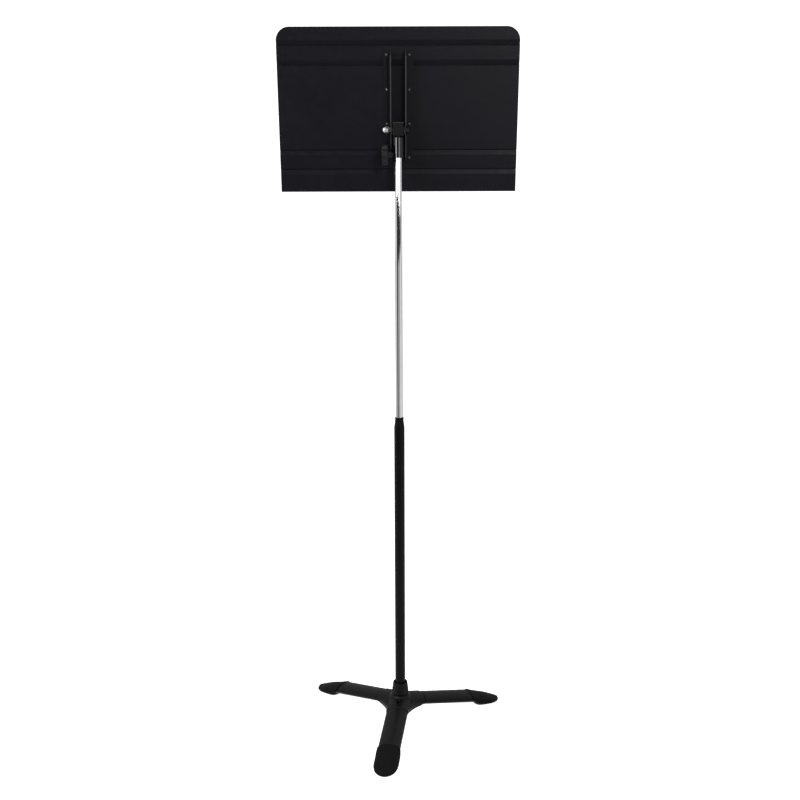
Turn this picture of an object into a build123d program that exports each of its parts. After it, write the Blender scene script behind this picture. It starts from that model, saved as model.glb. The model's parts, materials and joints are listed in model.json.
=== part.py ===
from build123d import *
import os
from math import atan, cos, degrees, radians, sin, sqrt

# Orchestra music stand: a pressed steel desk that tilts on two riveted rails, a chrome shaft that
# slides and turns in a painted tube under a friction clutch, and a three-legged base with boots.
# Millimetres. +Z is up, the player sits on the -Y side, and left and right are the player's.
# The pieces are drawn about the pole's axis, then all moved so that the origin lies on the floor
# at the middle of the stand's bounding box.

# ---- desk ----
desk_width = 508.0
desk_height = 338.4           # along the slope, from the top edge to the ledge fold
desk_sheet = 1.0
desk_corner_radius = 28.0
desk_tilt = 7.4               # degrees that the desk leans back from vertical
pivot_below_top = 206.7       # along the slope, from the top edge to the tilt bolt
pivot_to_sheet = 17.0         # from the tilt bolt to the back of the sheet
groove_depth = 3.0
groove_long_flank = 9.6
groove_short_flank = 2.3
upper_groove_starts = (26.5, 65.9)       # distances down from the top edge
lower_groove_starts = (248.0, 288.4)
groove_bend = 0.9
ledge_depth = 54.0
lip_height = 9.0
fold_radius = 3.2

# ---- rails and rivets ----
rail_top = 48.4               # down from the desk's top edge
rail_bottom = 271.6
rail_sheet = 2.0
rail_inner = 14.9             # half the gap between the two upright walls
rail_outer = 31.2             # half the width over both flanges
rail_wall = 26.0              # how far a wall stands off the desk
rail_end_cut = 10.0
dimple_radius = 13.0
dimple_flat = 8.6
dimple_depth = 2.4
rivet_side = 23.4
first_rivet = 55.7            # down from the desk's top edge
rivet_pitch = 69.7
rivet_radius = 1.7
rivet_head_radius = 2.5
rivet_head_height = 1.2

# ---- tilt joint ----
pivot_height = 1348.2
pivot_forward = 21.0          # the tilt bolt lies this far from the pole's axis, on the player's side
block_half_width = 11.2
block_half_height = 14.0
block_behind_pole = 11.5
bolt_radius = 4.0
bolt_head_across = 13.0
bolt_head_height = 6.3
friction_washer_radius = 8.4
flat_washer_radius = 6.8
flat_washer_height = 1.6
head_washer_radius = 5.6
head_washer_height = 1.6
spring_washer_radius = 5.8
spring_washer_height = 3.4
nut_across = 13.0
nut_hex_height = 6.0
nut_neck = 0.8
nut_dome_radius = 6.2

# ---- neck and clamp knob ----
neck_bottom = 1289.5
neck_top = 1333.9
neck_radius = 11.0
neck_bore = 8.05
neck_bore_top = 1329.0
spigot_radius = 7.0
spigot_height = 14.0
knob_height = 1296.4
knob_radius = 21.5
knob_thickness = 12.5
knob_inner_face = 22.2        # from the pole's axis
knob_lobes = 5
knob_groove_radius = 6.0
knob_groove_depth = 3.8
knob_first_groove = 36.0      # degrees round the knob
knob_boss_radius = 5.6
knob_boss_end = 12.6
screw_radius = 3.0
pad_radius = 2.6
pad_height = 1.0

# ---- shaft and friction clutch ----
shaft_radius = 8.0
shaft_wall = 1.2
shaft_bottom = 665.0
shaft_top = 1328.0
plug_height = 16.0
stem_bottom = 626.0
stem_head_radius = 5.0
stem_head_height = 6.0
sleeve_bottom = 634.5
sleeve_top = 660.0
sleeve_wall = 2.2
sleeve_slit = 2.0
wedge_flange = 2.2
wedge_depth = 6.0
spring_wire = 0.7
spring_radius = 4.6
spring_turns = 4

# ---- outer tube ----
tube_radius = 11.7
tube_wall = 1.5
tube_bottom = 40.0
tube_top = 730.0
nose_start = 707.0
nose_end = 722.0
nose_radius = 9.65
nose_bore = 8.35
bushing_bottom = 674.0
bushing_top = 704.0
insert_height = 20.0

# ---- foot: collar, hub and bolt ----
collar_bottom = 66.0
collar_shoulder = 80.0
collar_top = 95.5
collar_radius = 18.9
collar_top_radius = 16.3
collar_mouth = 13.9
hub_bottom = 30.0
hub_boss_radius = 30.0
hub_web_bottom = 34.0
hub_web_top = 50.0
hub_web_waist = 40.0
base_bolt_radius = 5.0
base_bolt_head = 6.4
base_washer_radius = 14.0
base_washer_height = 2.0
set_screw_slope = 30.0        # degrees up from level
set_screw_radius = 3.0
set_screw_length = 9.0

# ---- legs and boots ----
rear_leg_angle = 81.7         # degrees from +X; the other two legs are 120 degrees apart
leg_half_width = 24.9
leg_half_height = 11.8
leg_wall = 1.6
leg_axis_height = 44.0        # height of the leg's centre line at leg_axis_radius
leg_axis_radius = 50.0
leg_slope = 0.163
leg_start = 54.8
hub_arm_end = 52.8
hub_arm_rim = 1.4             # the hub's arms are larger all round than the legs by this
spigot_end = 88.0
leg_end = 210.0
leg_screw_at = 70.0
leg_screw_radius = 2.4
boot_start = 178.0
boot_nose = 217.0             # where the plan begins to round in to the tip
boot_tip = 255.5
boot_half_width = 27.5
boot_rim = 1.5
boot_wall = 1.3
boot_fall = 0.36              # slope of the boot's upper line
boot_cut = 0.28               # lean of the boot's open end

fit = 0.05                    # radial running clearance
gap = 0.1                     # radial clearance of a piece pressed or pushed on


def tube_solid(outer, inner, bottom, top):
    """A round tube, or a rod where inner is zero, standing on the pole's axis."""
    body = Pos(0, 0, bottom) * extrude(Circle(outer), top - bottom)
    if inner > 0:
        body -= Pos(0, 0, bottom) * extrude(Circle(inner), top - bottom)
    return body


def spun(points):
    """A solid turned about the pole's axis from (radius, height) points."""
    outline = make_face(Plane.XZ * Polyline(*points, close=True))
    return revolve(outline, Axis.Z)


def along_x(solid, x, y, z):
    """Turns a solid drawn upwards from the origin so that it points along +X from (x, y, z)."""
    return Pos(x, y, z) * Rot(0, 90, 0) * solid


# ---------------------------------------------------------------- base

def leg_plane(radius):
    """The plane square to a leg's centre line, for a leg that points along +X."""
    drop = atan(leg_slope)
    height = leg_axis_height - leg_slope * (radius - leg_axis_radius)
    return Plane(origin=(radius, 0, height), x_dir=(0, 1, 0), z_dir=(cos(drop), 0, -sin(drop)))


def leg_oval(start, end, shrink):
    """An oval bar on the leg's centre line, smaller all round than the leg by shrink."""
    length = (end - start) / cos(atan(leg_slope))
    section = Ellipse(leg_half_width - shrink, leg_half_height - shrink)
    return extrude(leg_plane(start) * section, length)


def boot_top_line(radius):
    """Height of the boot's upper line."""
    start = leg_axis_height - leg_slope * (boot_start - leg_axis_radius) + leg_half_height + boot_rim
    return start - boot_fall * (radius - boot_start)


def turned_leg(solid, index):
    """Moves a piece drawn on the +X leg round to one of the three legs."""
    return Rot(0, 0, rear_leg_angle + 120 * index) * solid


def boot_section(radius, shrink):
    """The oval section of a boot, square to its leg's direction seen from above."""
    nose = max(0.0, (radius - boot_nose) / (boot_tip - boot_nose))
    round_in = sqrt(1 - nose ** 2)
    half_width = boot_half_width * round_in
    roof = boot_top_line(radius)
    leg_floor = leg_axis_height - leg_slope * (radius - leg_axis_radius) - leg_half_height - boot_rim
    floor = max(-0.8, leg_floor - 0.3 * (radius - boot_start))
    middle = 6.5 + (0.5 * (roof + floor) - 6.5) * round_in
    half_height = 0.5 * (roof - floor) * (0.35 + 0.65 * round_in)
    plane = Plane(origin=(radius, 0, middle), x_dir=(0, 1, 0), z_dir=(1, 0, 0))
    return plane * Ellipse(half_width - shrink, half_height - shrink)


def boot_form(stations, shrink):
    """The boot's outer form, smaller all round by shrink."""
    return loft([boot_section(radius, shrink) for radius in stations])


def leg_end_form(grow):
    """The tip of a leg, shaped to lie inside its boot, larger all round than the leg by grow."""
    inside = boot_form((boot_start - 4, 190, 203, leg_end + 8), boot_wall - grow)
    return leg_oval(boot_start - 3, leg_end + grow, -grow) & inside


def make_leg(index):
    leg = leg_oval(leg_start, boot_start - 2.5, 0) + leg_end_form(0)
    leg -= leg_oval(leg_start - 1, leg_end + 20, leg_wall)
    leg -= leg_screw(0.2)
    return turned_leg(leg, index)


def leg_screw(clearance):
    """A button-head screw up through the underside of a leg into the hub's spigot."""
    plane = leg_plane(leg_screw_at)
    foot = Location(plane) * Pos(0, -leg_half_height, 0) * Rot(-90, 0, 0)
    shank = extrude(Circle(leg_screw_radius + clearance), 6.5)
    head = Pos(0, 0, -2.0) * extrude(Circle(4.2), 2.2)
    head = fillet(head.faces().sort_by(Axis.Z)[0].edges(), 1.2)
    head -= Pos(0, 0, -2.0) * extrude(RegularPolygon(1.4, 6), 1.3)
    if clearance > 0:
        return foot * (shank + Pos(0, 0, -3) * extrude(Circle(4.4), 3.2))
    return foot * (shank + head)


def make_leg_screws():
    return Compound([turned_leg(leg_screw(0), index) for index in range(3)])


def make_boot(index):
    boot = boot_form((boot_start - 4, 190, 203, boot_nose, 228, 238, 246, 251.5, 254.6), 0)
    lean = degrees(atan(boot_cut))
    open_end = Pos(boot_start - 0.5 * boot_rim, 0, boot_top_line(boot_start)) * Rot(0, -lean, 0)
    boot -= open_end * Pos(-30, 0, 0) * Box(60, 120, 120)
    boot -= Pos(boot_nose, 0, -20) * Box(200, 100, 40)
    boot -= leg_oval(boot_start - 40, boot_start - 2, -gap) + leg_end_form(gap)
    return turned_leg(boot, index)


def set_screw_place():
    """Where the set screw's tip meets the tube, pointing out along the screw."""
    return Pos(tube_radius, 0, 47.0) * Rot(0, 90 - set_screw_slope, 0)


def make_hub_set_screw():
    screw = Pos(0, 0, 1.8) * extrude(Circle(set_screw_radius), set_screw_length)
    screw -= Pos(0, 0, 1.8 + set_screw_length - 3.5) * extrude(RegularPolygon(1.7, 6), 3.5)
    return turned_leg(set_screw_place() * screw, 0)


def hub_web():
    """A flat web whose outline runs from arm to arm in hollow curves."""
    outline = []
    for index in range(3):
        middle = radians(rear_leg_angle + 120 * index)
        side = atan((leg_half_width - 1.5) / (hub_arm_end - 6))
        reach = sqrt((leg_half_width - 1.5) ** 2 + (hub_arm_end - 6) ** 2)
        next_middle = middle + radians(120)
        first = (reach * cos(middle - side), reach * sin(middle - side))
        second = (reach * cos(middle + side), reach * sin(middle + side))
        third = (reach * cos(next_middle - side), reach * sin(next_middle - side))
        waist = (hub_web_waist * cos(middle + radians(60)), hub_web_waist * sin(middle + radians(60)))
        outline.append(Line(first, second))
        outline.append(ThreePointArc(second, waist, third))
    web = Pos(0, 0, hub_web_bottom) * extrude(make_face(Wire(outline)), hub_web_top - hub_web_bottom)
    rims = web.faces().sort_by(Axis.Z)
    return fillet(rims[0].edges() + rims[-1].edges(), 5.0)


def make_hub():
    profile = [(0, hub_bottom), (hub_boss_radius - 4, hub_bottom), (hub_boss_radius, hub_bottom + 4)]
    profile += [(hub_boss_radius, 52), (28.2, 56.5), (24.8, 60), (21.5, 63.2), (19.4, collar_bottom)]
    hub = spun(profile + [(0, collar_bottom)]) + hub_web()
    for index in range(3):
        arm = leg_oval(4, hub_arm_end, -hub_arm_rim)
        spigot = leg_oval(hub_arm_end - 8, spigot_end, leg_wall + gap)
        hub += turned_leg(arm + spigot, index)
    for index in range(3):
        hub -= turned_leg(leg_oval(hub_arm_end - 14, spigot_end + 5, leg_wall + 3.2), index)
        hub -= turned_leg(leg_screw(fit), index)
    hub -= tube_solid(tube_radius + gap, 0, tube_bottom, collar_bottom + 40)
    hub -= tube_solid(base_bolt_radius + 0.3, 0, hub_bottom - 5, tube_bottom + 1)
    hub -= Pos(0, 0, collar_bottom) * extrude(Circle(60), 60)
    hub -= turned_leg(set_screw_place() * extrude(Circle(set_screw_radius + fit), 40), 0)
    return hub


def make_foot_collar():
    profile = [(tube_radius + gap, collar_bottom), (collar_radius - 1.6, collar_bottom)]
    profile += [(collar_radius - 0.4, collar_bottom + 1.2), (collar_radius, collar_bottom + 3)]
    profile += [(collar_radius, collar_shoulder), (collar_radius - 0.7, collar_shoulder + 3)]
    profile += [(collar_top_radius + 0.5, collar_top - 1.2), (collar_top_radius, collar_top)]
    profile += [(collar_mouth, collar_top), (tube_radius + gap, collar_top - 5)]
    return spun(profile)


def make_base_bolt():
    under_head = hub_bottom - base_washer_height
    shank = tube_solid(base_bolt_radius, 0, under_head, tube_bottom + insert_height - 2)
    head = Pos(0, 0, under_head - base_bolt_head) * extrude(RegularPolygon(8.5, 6, major_radius=False),
                                                            base_bolt_head)
    return shank + chamfer(head.faces().sort_by(Axis.Z)[0].edges(), 0.8)


def make_base_washer():
    return tube_solid(base_washer_radius, base_bolt_radius + 0.3, hub_bottom - base_washer_height, hub_bottom)


def make_tube_insert():
    bore = tube_radius - tube_wall - gap
    return tube_solid(bore, base_bolt_radius + fit, tube_bottom, tube_bottom + insert_height)


def make_outer_tube():
    bore = tube_radius - tube_wall
    profile = [(bore, tube_bottom), (tube_radius, tube_bottom), (tube_radius, nose_start)]
    profile += [(tube_radius - 0.5, nose_start + 4), (nose_radius + 0.4, nose_end - 3)]
    profile += [(nose_radius, nose_end), (nose_radius, tube_top - 0.6), (nose_radius - 0.6, tube_top)]
    profile += [(nose_bore, tube_top), (nose_bore, nose_end - 4), (bore, nose_start - 1)]
    return spun(profile)


def make_guide_bushing():
    bore = tube_radius - tube_wall - gap
    return tube_solid(bore, shaft_radius + 0.08, bushing_bottom, bushing_top)


# ---------------------------------------------------------------- clutch and shaft

def make_friction_sleeve():
    outer = tube_radius - tube_wall - fit
    sleeve = tube_solid(outer, outer - sleeve_wall, sleeve_bottom, sleeve_top)
    for quarter in range(4):
        upward = quarter % 2 == 0
        middle = 0.5 * (sleeve_bottom + sleeve_top) + (7 if upward else -7)
        slit = Pos(outer, 0, middle) * Box(2 * outer, sleeve_slit, sleeve_top - sleeve_bottom)
        sleeve -= Rot(0, 0, 45 + 90 * quarter) * slit
    return sleeve


def make_wedge(flange_end, direction):
    """A cone that spreads the friction sleeve, with its flange outermost."""
    rim = tube_radius - tube_wall - 0.6
    skirt = tube_radius - tube_wall - fit - sleeve_wall - 0.2
    flange_inner = flange_end + direction * wedge_flange
    tip = flange_inner + direction * wedge_depth
    bore = screw_radius + fit
    profile = [(bore, flange_end), (rim, flange_end), (rim, flange_inner)]
    profile += [(skirt, flange_inner), (skirt - 1.2, tip), (bore, tip)]
    return spun(profile)


def make_lower_wedge():
    return make_wedge(stem_bottom + stem_head_height, 1)


def make_upper_wedge():
    return make_wedge(sleeve_top + wedge_flange + 0.3, -1)


def make_clutch_spring():
    low = stem_bottom + stem_head_height + wedge_flange + wedge_depth + spring_wire
    high = sleeve_top + 0.3 - wedge_depth - spring_wire
    helix = Pos(0, 0, low) * Helix((high - low) / spring_turns, high - low, spring_radius)
    section = Plane(origin=helix @ 0, z_dir=helix % 0) * Circle(spring_wire)
    return sweep(section, path=helix, is_frenet=True)


def make_clutch_stem():
    head = tube_solid(stem_head_radius, 0, stem_bottom, stem_bottom + stem_head_height - fit)
    head -= Pos(0, 0, stem_bottom) * extrude(RegularPolygon(2.9, 6), 3)
    shank = tube_solid(screw_radius, 0, stem_bottom + 3, shaft_bottom + plug_height - 3)
    return head + shank


def make_shaft_plug():
    bore = shaft_radius - shaft_wall - gap
    return tube_solid(bore, screw_radius + fit, shaft_bottom, shaft_bottom + plug_height)


def make_shaft_tube():
    return tube_solid(shaft_radius, shaft_radius - shaft_wall, shaft_bottom, shaft_top)


# ---------------------------------------------------------------- neck and knob

def make_neck_sleeve():
    profile = [(neck_bore, neck_bottom), (neck_radius - 0.6, neck_bottom), (neck_radius, neck_bottom + 0.6)]
    profile += [(neck_radius, neck_top - 5), (neck_radius - 0.8, neck_top - 2), (neck_radius - 2, neck_top)]
    profile += [(spigot_radius, neck_top), (spigot_radius, neck_top + spigot_height)]
    profile += [(0, neck_top + spigot_height), (0, neck_bore_top), (neck_bore, neck_bore_top)]
    neck = spun(profile)
    neck -= along_x(extrude(Circle(screw_radius + fit), 20), 0, 0, knob_height)
    return neck


def make_pressure_pad():
    pad = extrude(Circle(pad_radius), pad_height)
    return along_x(pad, shaft_radius + fit, 0, knob_height)


def make_clamp_screw():
    start = shaft_radius + fit + pad_height + fit
    rod = extrude(Circle(screw_radius), knob_inner_face + 9 - start)
    return along_x(rod, start, 0, knob_height)


def make_clamp_knob():
    outline = Circle(knob_radius)
    for lobe in range(knob_lobes):
        groove = Pos(knob_radius + knob_groove_radius - knob_groove_depth, 0) * Circle(knob_groove_radius)
        outline -= Rot(0, 0, 360 * lobe / knob_lobes + knob_first_groove) * groove
    outline = fillet(outline.vertices(), 2.5)
    knob = extrude(outline, knob_thickness)
    knob = fillet(knob.faces().sort_by(Axis.Z)[-1].edges(), 2.2)
    knob = fillet(knob.faces().sort_by(Axis.Z)[0].edges(), 1.4)
    knob += Pos(0, 0, knob_boss_end - knob_inner_face) * extrude(Circle(knob_boss_radius),
                                                                 knob_inner_face - knob_boss_end)
    knob -= Pos(0, 0, -10) * extrude(Circle(screw_radius + fit), 19)
    return along_x(knob, knob_inner_face, 0, knob_height)


def make_tilt_block():
    back = pivot_forward + block_behind_pole
    outline = Pos(0.5 * back, 0) * Rectangle(back, 2 * block_half_height) + Circle(block_half_height)
    block = extrude(Plane.YZ * outline, block_half_width, both=True)
    block = chamfer(block.faces().sort_by(Axis.Y)[-1].edges(), 1.2)
    block = Pos(0, -pivot_forward, pivot_height) * block
    block -= along_x(extrude(Circle(bolt_radius + fit), 60), -30, -pivot_forward, pivot_height)
    block -= tube_solid(spigot_radius + gap, 0, neck_top - 4, neck_top + spigot_height + 0.5)
    return block


# ---------------------------------------------------------------- desk, drawn upright about the tilt bolt

def desk_place():
    """Puts a piece drawn about the tilt bolt, with the desk upright, where it belongs."""
    return Location((0, -pivot_forward, pivot_height), (-desk_tilt, 0, 0))


def from_top(distance):
    """The height, about the tilt bolt, of a line this far down from the desk's top edge."""
    return pivot_below_top - distance


def desk_section_points():
    """The back and underside of the sheet, from the top edge down and round to the lip."""
    back = -pivot_to_sheet
    points = [(back, from_top(0))]
    for start in upper_groove_starts:
        points.append((back, from_top(start)))
        points.append((back - groove_depth, from_top(start + groove_long_flank)))
        points.append((back, from_top(start + groove_long_flank + groove_short_flank)))
    for start in lower_groove_starts:
        points.append((back, from_top(start)))
        points.append((back - groove_depth, from_top(start + groove_short_flank)))
        points.append((back, from_top(start + groove_short_flank + groove_long_flank)))
    points.append((back, from_top(desk_height)))
    points.append((back - ledge_depth, from_top(desk_height)))
    points.append((back - ledge_depth, from_top(desk_height) + lip_height))
    return points


def rivet_places():
    places = []
    for row in range(4):
        for side in (-1, 1):
            places.append((side * rivet_side, from_top(first_rivet + row * rivet_pitch)))
    return places


def rivet_holes():
    """Bars that clear every rivet through a rail and the sheet."""
    bars = []
    for x, z in rivet_places():
        bars.append(Pos(x, -pivot_to_sheet - 10, z) * Rot(-90, 0, 0) * extrude(Circle(rivet_radius + fit), 20))
    return Compound(bars)


def make_desk_panel():
    bends = [groove_bend] * 12 + [fold_radius, fold_radius - 1]
    line = FilletPolyline(*desk_section_points(), radius=bends)
    section = make_face(offset(line, desk_sheet, side=Side.LEFT))
    if section.bounding_box().max.X > -pivot_to_sheet + 0.5:
        section = make_face(offset(line, desk_sheet, side=Side.RIGHT))
    panel = extrude(Plane.YZ * section, desk_width / 2, both=True)
    corners = panel.edges().filter_by(Axis.Y).sort_by(Axis.Z)[-2:]
    panel = fillet(corners, desk_corner_radius)
    panel -= rivet_holes()
    return desk_place() * panel


def rail_dimple():
    """The wall pressed in around the bolt, so that it bears on the friction washer."""
    inner = rail_inner
    outer = rail_inner + rail_sheet
    points = [(bolt_radius + 0.2, inner - dimple_depth), (dimple_flat, inner - dimple_depth)]
    points += [(dimple_radius, inner), (dimple_radius, outer), (dimple_flat, outer - dimple_depth)]
    points += [(bolt_radius + 0.2, outer - dimple_depth)]
    cup = Rot(0, 90, 0) * spun(points)
    return cup & (Pos(0, rail_wall - pivot_to_sheet - 50, 0) * Box(100, 100, 100))


def make_rail(side):
    length = rail_bottom - rail_top
    middle = from_top(0.5 * (rail_top + rail_bottom))
    back = -pivot_to_sheet
    flange_width = rail_outer - rail_inner
    flange = Pos(rail_inner + 0.5 * flange_width, back + 0.5 * rail_sheet, middle)
    wall = Pos(rail_inner + 0.5 * rail_sheet, back + 0.5 * rail_wall, middle)
    rail = flange * Box(flange_width, rail_sheet, length) + wall * Box(rail_sheet, rail_wall, length)
    free_corners = rail.edges().filter_by(Axis.X).group_by(Axis.Y)[-1]
    rail = chamfer(free_corners, rail_end_cut)
    bend = rail.edges().filter_by(Axis.Z).sort_by(lambda edge: abs(edge.center().X - rail_inner)
                                                  + abs(edge.center().Y - back))[0]
    rail = fillet(bend, 1.4)
    rail -= Rot(0, 90, 0) * extrude(Circle(dimple_radius), 60)
    rail += rail_dimple()
    if side < 0:
        rail = mirror(rail, Plane.YZ)
    rail -= rivet_holes()
    return desk_place() * rail


def make_rail_rivets():
    grip = desk_sheet + rail_sheet
    dome = spun([(0, 0), (rivet_head_radius, 0), (0.86 * rivet_head_radius, 0.55 * rivet_head_height),
                 (0.5 * rivet_head_radius, 0.92 * rivet_head_height), (0, rivet_head_height)])
    tail = Pos(0, 0, -grip - 0.9) * extrude(Circle(rivet_head_radius - 0.4), 0.9)
    shank = Pos(0, 0, -grip) * extrude(Circle(rivet_radius), grip)
    rivet = dome + shank + chamfer(tail.faces().sort_by(Axis.Z)[0].edges(), 0.4)
    rivets = []
    for x, z in rivet_places():
        rivets.append(desk_place() * Pos(x, rail_sheet - pivot_to_sheet, z) * Rot(-90, 0, 0) * rivet)
    return Compound(rivets)


# ---------------------------------------------------------------- tilt bolt and its washers

washer_face = rail_inner + rail_sheet - dimple_depth      # the outer face of a dimple
nut_face = washer_face + 2 * flat_washer_height + spring_washer_height


def on_tilt_axis(solid, x):
    """Turns a piece drawn upwards to point along +X on the tilt axis."""
    return desk_place() * Pos(x, 0, 0) * Rot(0, 90, 0) * solid


def ring(outer, inner, height):
    return extrude(Circle(outer), height) - extrude(Circle(inner), height)


def make_tilt_bolt():
    head_face = washer_face + head_washer_height
    shank_end = nut_face + nut_hex_height
    shank = extrude(Circle(bolt_radius), head_face + shank_end)
    head = Pos(0, 0, -bolt_head_height) * extrude(RegularPolygon(bolt_head_across / 2, 6, major_radius=False),
                                                  bolt_head_height)
    head = chamfer(head.faces().sort_by(Axis.Z)[0].edges(), 0.7)
    return on_tilt_axis(shank + head, -head_face)


def make_cap_nut():
    hexagon = extrude(RegularPolygon(nut_across / 2, 6, major_radius=False), nut_hex_height)
    hexagon = chamfer(hexagon.faces().sort_by(Axis.Z)[0].edges(), 0.6)
    neck = Pos(0, 0, nut_hex_height) * extrude(Circle(nut_dome_radius), nut_neck)
    dome = Pos(0, 0, nut_hex_height + nut_neck) * Sphere(nut_dome_radius)
    dome &= Pos(0, 0, nut_hex_height + nut_neck + 10) * Box(40, 40, 20)
    nut = hexagon + neck + dome
    nut -= extrude(Circle(bolt_radius + fit), nut_hex_height + 0.5)
    return on_tilt_axis(nut, nut_face)


def make_spring_washer():
    """A washer of two coils: a ring with a slanting slit and a groove between the coils."""
    washer = ring(spring_washer_radius, bolt_radius + 0.2, spring_washer_height)
    washer -= Rot(0, 0, 70) * Pos(5, 0, 1.7) * Rot(25, 0, 0) * Box(10, 0.8, 10)
    between = ring(spring_washer_radius + 1, spring_washer_radius - 0.9, 0.5)
    washer -= Pos(0, 0, 0.5 * spring_washer_height - 0.25) * between
    return on_tilt_axis(washer, washer_face + flat_washer_height)


def make_flat_washers():
    """The washers on both sides of the spring washer."""
    washer = ring(flat_washer_radius, bolt_radius + 0.2, flat_washer_height)
    return Compound([on_tilt_axis(washer, washer_face), on_tilt_axis(washer, nut_face - flat_washer_height)])


def make_head_washer():
    washer = ring(head_washer_radius, bolt_radius + 0.2, head_washer_height)
    return on_tilt_axis(washer, -washer_face - head_washer_height)


def make_friction_washers():
    height = rail_inner - dimple_depth - block_half_width
    washer = ring(friction_washer_radius, bolt_radius + 0.2, height)
    return Compound([on_tilt_axis(washer, block_half_width), on_tilt_axis(washer, -block_half_width - height)])


# ---------------------------------------------------------------- all the pieces

pieces = {
    "desk_panel": make_desk_panel(),
    "rail_left": make_rail(-1),
    "rail_right": make_rail(1),
    "rail_rivets": make_rail_rivets(),
    "tilt_bolt": make_tilt_bolt(),
    "cap_nut": make_cap_nut(),
    "spring_washer": make_spring_washer(),
    "flat_washers": make_flat_washers(),
    "head_washer": make_head_washer(),
    "friction_washers": make_friction_washers(),
    "tilt_block": make_tilt_block(),
    "neck_sleeve": make_neck_sleeve(),
    "clamp_knob": make_clamp_knob(),
    "clamp_screw": make_clamp_screw(),
    "pressure_pad": make_pressure_pad(),
    "shaft_tube": make_shaft_tube(),
    "shaft_plug": make_shaft_plug(),
    "clutch_stem": make_clutch_stem(),
    "friction_sleeve": make_friction_sleeve(),
    "upper_wedge": make_upper_wedge(),
    "lower_wedge": make_lower_wedge(),
    "clutch_spring": make_clutch_spring(),
    "outer_tube": make_outer_tube(),
    "guide_bushing": make_guide_bushing(),
    "tube_insert": make_tube_insert(),
    "foot_collar": make_foot_collar(),
    "base_bolt": make_base_bolt(),
    "base_washer": make_base_washer(),
    "hub": make_hub(),
    "hub_set_screw": make_hub_set_screw(),
    "leg_screws": make_leg_screws(),
}
for leg_index, leg_name in enumerate(("rear", "left", "right")):
    pieces["leg_" + leg_name] = make_leg(leg_index)
    pieces["boot_" + leg_name] = make_boot(leg_index)

boxes = [piece.bounding_box() for piece in pieces.values()]
x_middle = 0.5 * (min(box.min.X for box in boxes) + max(box.max.X for box in boxes))
y_middle = 0.5 * (min(box.min.Y for box in boxes) + max(box.max.Y for box in boxes))
print("pole axis at x", round(-x_middle, 3), "y", round(-y_middle, 3))

os.makedirs("parts", exist_ok=True)
for name, piece in pieces.items():
    placed = Pos(-x_middle, -y_middle, 0) * piece
    export_step(placed, os.path.join("parts", name + ".step"))
    solids = placed.solids()
    volume = sum(solid.volume for solid in solids)
    print(name, len(solids), "solids", round(volume / 1000, 2), "cm3")
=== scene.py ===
import json
from math import cos, pi, radians, sin

import bmesh
import bpy
from mathutils import Matrix, Vector


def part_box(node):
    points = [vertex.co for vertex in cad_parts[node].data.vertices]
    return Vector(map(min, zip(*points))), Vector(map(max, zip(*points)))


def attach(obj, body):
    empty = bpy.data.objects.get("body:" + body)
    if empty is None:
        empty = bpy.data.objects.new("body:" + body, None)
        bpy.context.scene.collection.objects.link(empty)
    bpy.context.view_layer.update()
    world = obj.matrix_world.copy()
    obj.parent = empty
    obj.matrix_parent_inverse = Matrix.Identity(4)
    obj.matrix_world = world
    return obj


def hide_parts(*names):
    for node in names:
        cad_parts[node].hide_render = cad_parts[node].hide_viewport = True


# Orchestra music stand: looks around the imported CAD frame. Metres, +Z up, and the player sits on the -Y side.

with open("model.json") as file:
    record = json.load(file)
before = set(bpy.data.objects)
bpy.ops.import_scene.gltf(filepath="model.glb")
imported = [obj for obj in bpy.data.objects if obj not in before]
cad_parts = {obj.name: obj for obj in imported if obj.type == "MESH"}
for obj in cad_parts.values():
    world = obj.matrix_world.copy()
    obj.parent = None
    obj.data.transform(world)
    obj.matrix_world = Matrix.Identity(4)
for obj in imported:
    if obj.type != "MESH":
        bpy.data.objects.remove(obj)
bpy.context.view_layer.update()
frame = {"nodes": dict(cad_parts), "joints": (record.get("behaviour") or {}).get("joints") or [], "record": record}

MM = 0.001

# ---- camera, from the pole's foot ----
CAMERA_SIDE = 2.4 * MM
CAMERA_BACK = 2.2236
CAMERA_HEIGHT = 1.2288
CAMERA_PITCH = radians(11.694)
CAMERA_YAW = radians(0.103)
CAMERA_ROLL = radians(0.2)
CAMERA_LENS = 46.197
CAMERA_SENSOR = 36.0

# ---- desk ----
DESK_LEAN = radians(7.4)      # back from upright
WALL_EDGE = 8.0 * MM          # the rail walls end 9 mm behind the tilt bolt, and their last 1 mm is lightened: a painted highlight on the wall edges
WALL_HIGHLIGHT_TONE = (0.050, 0.050, 0.055)
BLOCK_EDGE = 1.3 * MM         # the painted highlight band at the top of the tilt block
BLOCK_HIGHLIGHT_TONE = (0.040, 0.040, 0.044)
HIGHLIGHT_FADE = 0.25 * MM         # how softly a painted highlight band begins

# ---- studio ----
# The camera sees the floor and the world as white. The values here are what they send to the stand.
FLOOR_SIZE = 30.0
PAPER_BRIGHT = 0.8            # from the paper under the stand and on the camera's side
PAPER_BEHIND = 0.35           # from the paper on the player's side
BEHIND_BEGINS = -0.3          # the Y where the paper starts to go over to that
BEHIND_WHOLE = -1.1           # the Y where it has done so
PAPER_FRONT = 1.1             # the Y where the paper gives way to the floor beyond
PAPER_FADE = 0.25             # on each side of that
# From the floor beyond the paper, by its X over Y: set for the stripes in the chrome
FAR_FLOOR = (
    (-2.0, 0.70), (-0.80, 0.70), (-0.50, 0.55), (-0.20, 0.22), (0.05, 0.45), (0.35, 0.36),
    (0.60, 0.06), (0.75, 0.02), (1.70, 0.02), (2.20, 0.60), (3.0, 0.70),
)
BACK_BRIGHT = 0.4             # the wall on the player's side
WALL_BRIGHT = 0.72            # the side walls
ROOM_DIM = 0.035              # the room on the camera's side
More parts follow.
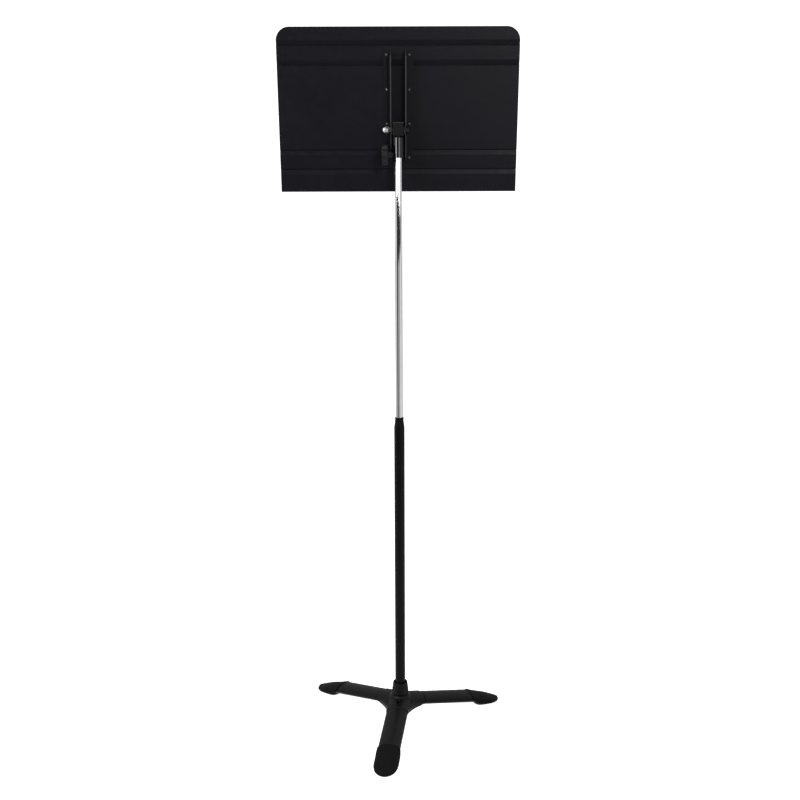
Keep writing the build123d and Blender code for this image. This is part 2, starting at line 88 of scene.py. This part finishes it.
# Grey of the world, by direction: 0 is the player's side and 1 is the camera's
WALLS = ((0.05, BACK_BRIGHT), (0.20, WALL_BRIGHT), (0.64, WALL_BRIGHT), (0.78, ROOM_DIM))
WORLD_WHITE = 1.3             # as the camera sees it
OVERHEAD_FRONT = 0.3          # the overhead light is this far to the camera's side of the pole


# ---------------------------------------------------------------- node helpers

def add_node(tree, kind, inputs=None, **settings):
    """A shader node with its settings, and its inputs either set or linked."""
    made = tree.nodes.new("ShaderNode" + kind)
    for name, value in settings.items():
        setattr(made, name, value)
    for name, value in (inputs or {}).items():
        if isinstance(value, bpy.types.NodeSocket):
            tree.links.new(value, made.inputs[name])
        else:
            made.inputs[name].default_value = value
    return made


def object_place(tree, stretch=(1, 1, 1)):
    """The place on the piece, in metres, drawn out along an axis where stretch is under 1."""
    coordinates = add_node(tree, "TexCoord")
    mapping = add_node(tree, "Mapping", {"Vector": coordinates.outputs["Object"], "Scale": stretch})
    return mapping.outputs["Vector"]


def noise(tree, size, detail=2.0, stretch=(1, 1, 1)):
    """Soft noise whose features are about size across, in metres."""
    made = add_node(tree, "TexNoise", {"Vector": object_place(tree, stretch), "Scale": 1 / size,
                                       "Detail": detail})
    return made.outputs["Fac"]


def spread(tree, value, low, high, start=0.3, end=0.7):
    """Maps start..end of a value on low..high."""
    made = add_node(tree, "MapRange", {"Value": value, "From Min": start, "From Max": end,
                                       "To Min": low, "To Max": high})
    return made.outputs["Result"]


def blend_colour(tree, factor, first, second):
    made = add_node(tree, "Mix", data_type="RGBA")
    tree.links.new(factor, made.inputs[0])
    for index, colour in ((6, first), (7, second)):
        if isinstance(colour, bpy.types.NodeSocket):
            tree.links.new(colour, made.inputs[index])
        else:
            made.inputs[index].default_value = (*colour, 1)
    return made.outputs[2]


def grey_ramp(tree, value, stops):
    """Grey levels at places from 0 to 1 along a value."""
    ramp = add_node(tree, "ValToRGB", {0: value})
    elements = ramp.color_ramp.elements
    while len(elements) > 1:
        elements.remove(elements[-1])
    elements[0].position = stops[0][0]
    elements[0].color = (stops[0][1],) * 3 + (1,)
    for position, level in stops[1:]:
        elements.new(position).color = (level,) * 3 + (1,)
    return ramp.outputs[0]


def bump(tree, height, depth, below=None):
    """Bump of a real depth in metres, on top of another bump where one is given."""
    inputs = {"Height": height, "Distance": depth, "Strength": 1.0}
    if below is not None:
        inputs["Normal"] = below
    return add_node(tree, "Bump", inputs).outputs["Normal"]


def new_material(name, metallic=0.0, specular=0.5):
    material = bpy.data.materials.new(name)
    material.use_nodes = True
    tree = material.node_tree
    tree.nodes.clear()
    shader = add_node(tree, "BsdfPrincipled", {"Metallic": metallic, "Specular IOR Level": specular})
    output = add_node(tree, "OutputMaterial", {"Surface": shader.outputs[0]})
    output.target = "ALL"
    return material, tree, shader


def fill(tree, shader, colour, roughness, normal):
    """Links a material's colour, roughness and normal."""
    tree.links.new(colour, shader.inputs["Base Color"])
    tree.links.new(roughness, shader.inputs["Roughness"])
    tree.links.new(normal, shader.inputs["Normal"])


# ---------------------------------------------------------------- materials

tilt_joint = next(joint for joint in frame["joints"] if joint["name"] == "desk_tilt")
desk_normal = (0, cos(DESK_LEAN), -sin(DESK_LEAN))


def past_line(tree, point, direction, start, softness):
    """1 on the parts of a piece that lie further than start from a point, along a direction."""
    coordinates = add_node(tree, "TexCoord").outputs["Object"]
    from_point = add_node(tree, "VectorMath", {0: coordinates, 1: point}, operation="SUBTRACT")
    along = add_node(tree, "VectorMath", {0: from_point.outputs[0], 1: direction}, operation="DOT_PRODUCT")
    return spread(tree, along.outputs["Value"], 0.0, 1.0, start, start + softness)


def coated_steel(name, colour, lift, roughness, peel, grit, specular=0.5, edge_highlight=None):
    """Stoved or powder-coated black: soft clouds in tone and gloss, orange peel, fine grit and a few scuffs.
    The last argument paints a highlight: a lighter band along an edge, given as a point, a direction, a start and
    the tone there."""
    material, tree, shader = new_material(name, specular=specular)
    clouds = noise(tree, 90 * MM, 4.0)
    handling = noise(tree, 14 * MM, 6.0)
    tone = blend_colour(tree, spread(tree, clouds, 0.0, 1.0), colour, lift)
    scuffs = noise(tree, 5 * MM, 3.0, stretch=(1.0, 1.0, 0.08))
    scuffed = spread(tree, scuffs, 0.0, 0.35, 0.66, 0.78)
    tone = blend_colour(tree, scuffed, tone, tuple(1.9 * part for part in lift))
    # Painted highlight: past the line the colour is lightened to stand in for the light an edge catches.
    if edge_highlight is not None:
        point, direction, start, highlight_tone = edge_highlight
        tone = blend_colour(tree, past_line(tree, point, direction, start, HIGHLIGHT_FADE), tone, highlight_tone)
    low, high = roughness
    gloss = spread(tree, handling, low, high)
    skin = bump(tree, noise(tree, peel[0], 2.0), peel[1])
    skin = bump(tree, noise(tree, grit[0], 1.0), grit[1], skin)
    fill(tree, shader, tone, gloss, skin)
    return material


def desk_paint():
    # The last argument paints a highlight along the front edges of the rail walls.
    return coated_steel("desk_paint", (0.0025, 0.0024, 0.0050), (0.0038, 0.0036, 0.0068), (0.36, 0.46),
                        (2.4 * MM, 0.05 * MM), (0.45 * MM, 0.012 * MM), 0.17,
                        (tilt_joint["pos_m"], desk_normal, WALL_EDGE, WALL_HIGHLIGHT_TONE))


def block_paint():
    # The last argument paints a highlight along the top edge of the tilt block.
    return coated_steel("block_paint", (0.0026, 0.0026, 0.0031), (0.0038, 0.0038, 0.0044), (0.42, 0.55),
                        (3.0 * MM, 0.10 * MM), (0.7 * MM, 0.03 * MM), 0.14,
                        (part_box("tilt_block")[1], (0, 0, 1), -BLOCK_EDGE, BLOCK_HIGHLIGHT_TONE))


def tube_paint():
    return coated_steel("tube_paint", (0.0016, 0.0016, 0.0019), (0.0024, 0.0024, 0.0028), (0.26, 0.36),
                        (3.5 * MM, 0.04 * MM), (0.4 * MM, 0.006 * MM), 0.14)


def base_paint():
    return coated_steel("base_paint", (0.0012, 0.0012, 0.0015), (0.0020, 0.0019, 0.0023), (0.33, 0.44),
                        (3.0 * MM, 0.06 * MM), (0.5 * MM, 0.012 * MM), 0.18)


def moulded(name, colour, lift, roughness, grain, specular=0.4):
    """Moulded plastic or rubber with a fine leathery grain and rubbed, glossier patches."""
    material, tree, shader = new_material(name, specular=specular)
    tone = blend_colour(tree, spread(tree, noise(tree, 22 * MM, 4.0), 0.0, 1.0), colour, lift)
    low, high = roughness
    gloss = spread(tree, noise(tree, 9 * MM, 5.0), low, high)
    cells = add_node(tree, "TexVoronoi", {"Vector": object_place(tree), "Scale": 1 / grain[0]},
                     feature="SMOOTH_F1")
    skin = bump(tree, cells.outputs["Distance"], grain[1])
    skin = bump(tree, noise(tree, 3.2 * MM, 3.0), 2 * grain[1], skin)
    fill(tree, shader, tone, gloss, skin)
    return material


def boot_rubber():
    return moulded("boot_rubber", (0.0009, 0.0009, 0.0010), (0.0015, 0.0015, 0.0016), (0.52, 0.68),
                   (0.9 * MM, 0.05 * MM), 0.12)


def collar_plastic():
    return moulded("collar_plastic", (0.0026, 0.0026, 0.0029), (0.0038, 0.0038, 0.0042), (0.42, 0.54),
                   (0.6 * MM, 0.03 * MM), 0.18)


def knob_plastic():
    return moulded("knob_plastic", (0.0046, 0.0046, 0.0052), (0.0066, 0.0066, 0.0074), (0.34, 0.44),
                   (0.6 * MM, 0.008 * MM), 0.30)


def neck_gloss():
    return moulded("neck_gloss", (0.0030, 0.0030, 0.0036), (0.0044, 0.0044, 0.0050), (0.07, 0.12),
                   (8.0 * MM, 0.0001 * MM), 0.5)


def plated(name, colour, tint, roughness, hairlines, stretch=(1.0, 1.0, 0.03)):
    """Plated metal with faint clouds and hairlines that run along one axis."""
    material, tree, shader = new_material(name, metallic=1.0)
    tone = blend_colour(tree, spread(tree, noise(tree, 16 * MM, 4.0), 0.0, 1.0), colour, tint)
    low, high = roughness
    lines = noise(tree, 0.5 * MM, 2.0, stretch)
    smears = spread(tree, noise(tree, 20 * MM, 5.0), 0.0, 1.0)
    wiped = add_node(tree, "Math", {0: spread(tree, lines, 0.0, 1.0), 1: smears}, operation="MULTIPLY")
    gloss = spread(tree, wiped.outputs[0], low, high, 0.0, 1.0)
    fill(tree, shader, tone, gloss, bump(tree, lines, hairlines))
    return material


def chrome():
    return plated("chrome", (0.90, 0.90, 0.92), (0.84, 0.84, 0.87), (0.03, 0.12), 0.0008 * MM)


def bright_steel():
    return plated("bright_steel", (0.90, 0.89, 0.87), (0.80, 0.79, 0.77), (0.24, 0.38), 0.003 * MM)


def yellow_zinc():
    return plated("yellow_zinc", (0.24, 0.20, 0.12), (0.17, 0.16, 0.12), (0.28, 0.42), 0.006 * MM)


def black_steel():
    return plated("black_steel", (0.030, 0.030, 0.033), (0.052, 0.050, 0.050), (0.30, 0.46), 0.01 * MM)


def inner_steel():
    return plated("inner_steel", (0.50, 0.50, 0.50), (0.40, 0.41, 0.43), (0.26, 0.42), 0.01 * MM)


def brass_pad():
    return plated("brass_pad", (0.72, 0.52, 0.22), (0.60, 0.42, 0.16), (0.22, 0.38), 0.006 * MM)


def rivet_steel():
    """Set rivets: the paint has cracked off their heads here and there."""
    material, tree, shader = new_material("rivet_steel")
    bare = spread(tree, noise(tree, 2.4 * MM, 3.0), 0.0, 1.0, 0.42, 0.50)
    tree.links.new(bare, shader.inputs["Metallic"])
    tone = blend_colour(tree, bare, (0.02, 0.02, 0.022), (0.20, 0.20, 0.21))
    gloss = spread(tree, noise(tree, 1.5 * MM, 3.0), 0.24, 0.42)
    fill(tree, shader, tone, gloss, bump(tree, noise(tree, 0.8 * MM, 2.0), 0.03 * MM))
    return material


def black_fibre():
    return moulded("black_fibre", (0.010, 0.010, 0.010), (0.018, 0.017, 0.016), (0.55, 0.72),
                   (0.5 * MM, 0.03 * MM), 0.25)


def nylon():
    return moulded("nylon", (0.66, 0.64, 0.56), (0.74, 0.72, 0.65), (0.36, 0.50), (0.7 * MM, 0.02 * MM), 0.5)


MATERIAL_MAKERS = {
    "desk_paint": desk_paint, "block_paint": block_paint, "tube_paint": tube_paint, "base_paint": base_paint,
    "boot_rubber": boot_rubber, "collar_plastic": collar_plastic, "knob_plastic": knob_plastic,
    "neck_gloss": neck_gloss, "chrome": chrome, "bright_steel": bright_steel, "yellow_zinc": yellow_zinc,
    "black_steel": black_steel, "inner_steel": inner_steel, "brass_pad": brass_pad,
    "rivet_steel": rivet_steel, "black_fibre": black_fibre, "nylon": nylon,
}
materials = {slot: make() for slot, make in MATERIAL_MAKERS.items()}
slot_of = {part["node"]: part["material_slot"] for part in frame["record"]["subparts"]}


def dress_cad_nodes():
    for name, part in frame["nodes"].items():
        for place in part.material_slots:
            place.link = "OBJECT"
            place.material = materials[slot_of[name]]


# ---------------------------------------------------------------- pieces with softened edges

STILL_FLAT = radians(0.6)     # triangles that turn by less than this are one flat face
SHARP_EDGE = radians(35)      # edges that turn by more than this are rounded
SAME_PLACE = 0.002 * MM       # corners closer than this are one corner
# How far each node's edges are rounded back
SOFT_EDGES = {
    "rail_left": 0.85 * MM, "rail_right": 0.85 * MM, "tilt_block": 0.9 * MM, "tilt_bolt": 0.25 * MM,
    "cap_nut": 0.35 * MM, "clamp_knob": 0.3 * MM, "flat_washers": 0.15 * MM, "head_washer": 0.2 * MM,
    "foot_collar": 0.3 * MM, "neck_sleeve": 0.2 * MM, "base_washer": 0.2 * MM, "base_bolt": 0.3 * MM,
    "spring_washer": 0.15 * MM, "friction_washers": 0.2 * MM,
}
HUB_GRAIN = 1.0 * MM          # the size of the cells that the hub is rebuilt from
HUB_ROUNDS = 9                # how many times it is then smoothed


def body_of(node):
    bodies = frame["record"]["behaviour"]["bodies"]
    return next(body for body, members in bodies.items() if node in members)


def stand_in(node, flat_angle):
    """A welded copy of a CAD node, with its flat faces whole, that is shown in the node's place."""
    form = bmesh.new()
    form.from_mesh(frame["nodes"][node].data)
    bmesh.ops.remove_doubles(form, verts=form.verts, dist=SAME_PLACE)
    if flat_angle > 0:
        bmesh.ops.dissolve_limit(form, angle_limit=flat_angle, verts=form.verts, edges=form.edges)
    mesh = bpy.data.meshes.new(node + "_shown")
    form.to_mesh(mesh)
    form.free()
    for face in mesh.polygons:
        face.use_smooth = True
    piece = bpy.data.objects.new(node + "_shown", mesh)
    bpy.context.scene.collection.objects.link(piece)
    mesh.materials.append(materials[slot_of[node]])
    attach(piece, body_of(node))
    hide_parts(node)
    return piece


def soften_edges(node, width):
    """The node with every sharp edge rounded, so that it catches the light."""
    piece = stand_in(node, STILL_FLAT)
    bevel = piece.modifiers.new("edges", "BEVEL")
    bevel.width = width
    bevel.segments = 2
    bevel.limit_method = "ANGLE"
    bevel.angle_limit = SHARP_EDGE
    weighted = piece.modifiers.new("flats", "WEIGHTED_NORMAL")
    weighted.keep_sharp = True
    weighted.weight = 90
    return piece


def cast_form(node, grain, rounds):
    """The node as a casting, its corners and inner angles run smoothly together."""
    piece = stand_in(node, 0)
    skin = piece.modifiers.new("skin", "REMESH")
    skin.mode = "VOXEL"
    skin.voxel_size = grain
    skin.use_smooth_shade = True
    melt = piece.modifiers.new("melt", "SMOOTH")
    melt.factor = 0.5
    melt.iterations = rounds
    return piece


def make_soft_pieces():
    for node, width in SOFT_EDGES.items():
        soften_edges(node, width)
    cast_form("hub", HUB_GRAIN, HUB_ROUNDS)


# ---------------------------------------------------------------- studio

def pole_foot():
    low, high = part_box("shaft_tube")
    return Vector((0.5 * (low.x + high.x), 0.5 * (low.y + high.y), 0))


def make_camera():
    """The camera stands behind the desk, a little above the tilt block, and looks down."""
    forward = Vector((-sin(CAMERA_YAW) * cos(CAMERA_PITCH), -cos(CAMERA_YAW) * cos(CAMERA_PITCH),
                      -sin(CAMERA_PITCH)))
    level = forward.cross(Vector((0, 0, 1))).normalized()
    upward = level.cross(forward)
    right = cos(CAMERA_ROLL) * level - sin(CAMERA_ROLL) * upward
    top = sin(CAMERA_ROLL) * level + cos(CAMERA_ROLL) * upward
    data = bpy.data.cameras.new("camera")
    data.lens = CAMERA_LENS
    data.sensor_width = CAMERA_SENSOR
    data.clip_end = 100
    camera = bpy.data.objects.new("camera", data)
    bpy.context.scene.collection.objects.link(camera)
    turn = Matrix((right, top, -forward)).transposed()
    place = pole_foot() + Vector((CAMERA_SIDE, CAMERA_BACK, CAMERA_HEIGHT))
    camera.matrix_world = Matrix.Translation(place) @ turn.to_4x4()
    bpy.context.scene.camera = camera


def make_world():
    """White to the camera. To the stand it is a dim room on the camera's side and bright walls elsewhere."""
    world = bpy.data.worlds.new("studio")
    bpy.context.scene.world = world
    world.use_nodes = True
    tree = world.node_tree
    tree.nodes.clear()
    direction = add_node(tree, "SeparateXYZ", {0: add_node(tree, "TexCoord").outputs["Generated"]})
    along = spread(tree, direction.outputs["Y"], 0.0, 1.0, -1.0, 1.0)
    room = add_node(tree, "Background", {"Color": grey_ramp(tree, along, WALLS), "Strength": 1.0})
    white = add_node(tree, "Background", {"Color": (1, 1, 1, 1), "Strength": WORLD_WHITE})
    seen = add_node(tree, "LightPath").outputs["Is Camera Ray"]
    mix = add_node(tree, "MixShader", {0: seen, 1: room.outputs[0], 2: white.outputs[0]})
    add_node(tree, "OutputWorld", {"Surface": mix.outputs[0]})


def make_floor():
    """White to the camera. To the stand it is bright paper, and an uneven, darker floor beyond that."""
    mesh = bpy.data.meshes.new("floor")
    half = FLOOR_SIZE / 2
    mesh.from_pydata([(-half, -half, 0), (half, -half, 0), (half, half, 0), (-half, half, 0)], [],
                     [(0, 1, 2, 3)])
    floor = bpy.data.objects.new("floor", mesh)
    bpy.context.scene.collection.objects.link(floor)
    material = bpy.data.materials.new("floor_paper")
    material.use_nodes = True
    tree = material.node_tree
    tree.nodes.clear()
    fibre = spread(tree, noise(tree, 0.4, 3.0), 0.985, 1.0)
    paper = add_node(tree, "BsdfDiffuse", {"Color": (0.86, 0.86, 0.86, 1)})
    glow = add_node(tree, "Emission", {"Color": (1, 1, 1, 1), "Strength": fibre})
    bright = add_node(tree, "AddShader", {0: paper.outputs[0], 1: glow.outputs[0]})
    place = add_node(tree, "SeparateXYZ", {0: add_node(tree, "NewGeometry").outputs["Position"]})
    far = spread(tree, place.outputs["Y"], 0.0, 1.0, PAPER_FRONT - PAPER_FADE, PAPER_FRONT + PAPER_FADE)
    sideways = add_node(tree, "Math", {0: place.outputs["X"], 1: place.outputs["Y"]}, operation="DIVIDE")
    first, last = FAR_FLOOR[0][0], FAR_FLOOR[-1][0]
    along = spread(tree, sideways.outputs[0], 0.0, 1.0, first, last)
    rays = grey_ramp(tree, along, [((side - first) / (last - first), level) for side, level in FAR_FLOOR])
    behind = spread(tree, place.outputs["Y"], 1.0, 0.0, BEHIND_WHOLE, BEHIND_BEGINS)
    paper_light = blend_colour(tree, behind, (PAPER_BRIGHT,) * 3, (PAPER_BEHIND,) * 3)
    sent_back = blend_colour(tree, far, paper_light, rays)
    bounce = add_node(tree, "Emission", {"Color": sent_back, "Strength": 1.0})
    seen = add_node(tree, "LightPath").outputs["Is Camera Ray"]
    mix = add_node(tree, "MixShader", {0: seen, 1: bounce.outputs[0], 2: bright.outputs[0]})
    add_node(tree, "OutputMaterial", {"Surface": mix.outputs[0]})
    mesh.materials.append(material)


def softbox(name, azimuth, distance, bottom, top, width, radiance):
    """An upright softbox that faces the pole. Azimuth is degrees from the camera, positive to its right."""
    turn = radians(azimuth)
    foot = pole_foot()
    middle = foot + Vector((-sin(turn) * distance, cos(turn) * distance, 0.5 * (bottom + top)))
    data = bpy.data.lights.new(name, "AREA")
    data.shape = "RECTANGLE"
    data.size = width
    data.size_y = top - bottom
    data.energy = radiance * pi * width * (top - bottom)
    light = bpy.data.objects.new(name, data)
    bpy.context.scene.collection.objects.link(light)
    facing = Vector((foot.x, foot.y, middle.z)) - middle
    light.rotation_euler = facing.to_track_quat("-Z", "Y").to_euler()
    light.location = middle
    light.visible_camera = False


def overhead(height, width, radiance):
    """A square light that faces straight down."""
    data = bpy.data.lights.new("overhead", "AREA")
    data.size = width
    data.energy = radiance * pi * width * width
    light = bpy.data.objects.new("overhead", data)
    bpy.context.scene.collection.objects.link(light)
    light.location = pole_foot() + Vector((0, OVERHEAD_FRONT, height))
    light.visible_camera = False


def make_studio():
    bpy.context.scene.view_settings.view_transform = "Standard"
    make_camera()
    make_world()
    make_floor()
    softbox("softbox_left", azimuth=-49, distance=2.5, bottom=1.2, top=3.0, width=1.2, radiance=8.0)
    softbox("softbox_right", azimuth=18, distance=2.9, bottom=1.15, top=3.0, width=0.6, radiance=8.0)
    softbox("panel_right", azimuth=42, distance=2.7, bottom=1.1, top=2.9, width=1.3, radiance=1.0)
    overhead(height=3.6, width=2.4, radiance=1.0)


dress_cad_nodes()
make_soft_pieces()
make_studio()
